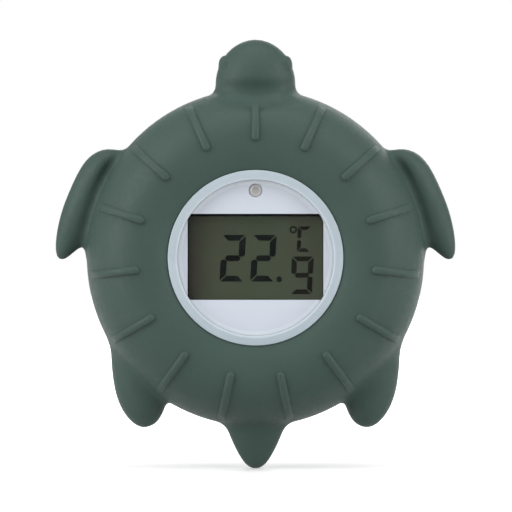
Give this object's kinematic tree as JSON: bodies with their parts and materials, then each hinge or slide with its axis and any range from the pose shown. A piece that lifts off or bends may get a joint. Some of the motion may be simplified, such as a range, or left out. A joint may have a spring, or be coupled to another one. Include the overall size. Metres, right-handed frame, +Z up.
{
  "type": "floating pool thermometer",
  "caption": "Turtle-shaped floating bath and pool thermometer: a round digital temperature module in a soft silicone jacket.",
  "frame": {"origin": "on the surface under the tail tip, on the middle plane from side to side, midway between the foremost ridge and the flat back", "axes": "+Z up towards the turtle's head, +X to the right of the display, +Y towards the back; the display faces -Y"},
  "size_m": [0.096, 0.0319, 0.1029],
  "materials": {
    "silicone": "matte",
    "white_case": "satin",
    "clear_window": "gloss",
    "face_plate": "satin",
    "display_glass": "gloss",
    "display_film": "matte",
    "black_plastic": "satin",
    "zebra_rubber": "matte",
    "board": "satin",
    "epoxy": "gloss",
    "steel": "satin",
    "ceramic": "matte",
    "led_plastic": "gloss",
    "tin": "satin",
    "seal_rubber": "matte",
    "plug_silicone": "matte",
    "grey_button": "satin",
    "red_wire": "satin",
    "black_wire": "satin",
    "nickel": "satin"
  },
  "bodies": {
    "jacket": {"silicone_jacket": "silicone"},
    "module": {"front_case": "white_case", "rear_case": "white_case", "case_seal": "seal_rubber", "window_lens": "clear_window", "lens_seal": "seal_rubber", "face_plate": "face_plate", "lcd_front_polariser": "display_film", "lcd_front_glass": "display_glass", "lcd_rear_glass": "display_glass", "lcd_reflector": "display_film", "lcd_frame": "black_plastic", "zebra_strip_upper": "zebra_rubber", "zebra_strip_lower": "zebra_rubber", "circuit_board": "board", "board_screw_1": "steel", "board_screw_2": "steel", "board_screw_3": "steel", "controller_blob": "epoxy", "quartz_crystal": "tin", "capacitor_1": "ceramic", "capacitor_2": "ceramic", "indicator_led": "led_plastic", "led_lead_left": "tin", "led_lead_right": "tin", "switch_body": "black_plastic", "button_seal": "seal_rubber", "probe_cap": "steel", "probe_seal": "seal_rubber", "thermistor": "epoxy", "thermistor_lead_left": "red_wire", "thermistor_lead_right": "black_wire", "battery_contact_positive": "nickel", "battery_contact_negative": "nickel", "contact_wire_positive": "red_wire", "contact_wire_negative": "black_wire", "coin_cell": "steel", "case_screw_1": "steel", "screw_plug_1": "plug_silicone", "case_screw_2": "steel", "screw_plug_2": "plug_silicone", "case_screw_3": "steel", "screw_plug_3": "plug_silicone", "case_screw_4": "steel", "screw_plug_4": "plug_silicone"},
    "cap_carriage": {"battery_cap_seal": "seal_rubber"},
    "battery_cap": {"battery_cap": "white_case"},
    "power_button": {"power_button": "grey_button"},
    "switch_plunger": {"switch_plunger": "grey_button"}
  },
  "joints": [
    {"name": "module_slide", "type": "slide", "parent": "jacket", "child": "module", "axis": [0, 1, 0], "range_m": [0, 0.035]},
    {"name": "battery_cap_lift", "type": "slide", "parent": "module", "child": "cap_carriage", "axis": [0, 1, 0], "range_m": [0, 0.004]},
    {"name": "battery_cap_turn", "type": "hinge", "parent": "cap_carriage", "child": "battery_cap", "pos_m": [0, 0.0157, 0.0426], "axis": [0, 1, 0], "range_deg": [0, 720]},
    {"name": "power_press", "type": "slide", "parent": "module", "child": "power_button", "axis": [0, -1, 0], "range_m": [0, 0.0006], "stiffness_N_per_m": 3000, "springref_m": -0.0002},
    {"name": "switch_press", "type": "slide", "parent": "module", "child": "switch_plunger", "axis": [0, -1, 0], "range_m": [0, 0.0003]}
  ],
  "couplings": [
    {"joint": "battery_cap_turn", "follows": "battery_cap_lift", "rad_per_m": 3141.6},
    {"joint": "switch_press", "follows": "power_press", "ratio": 0.5}
  ]
}
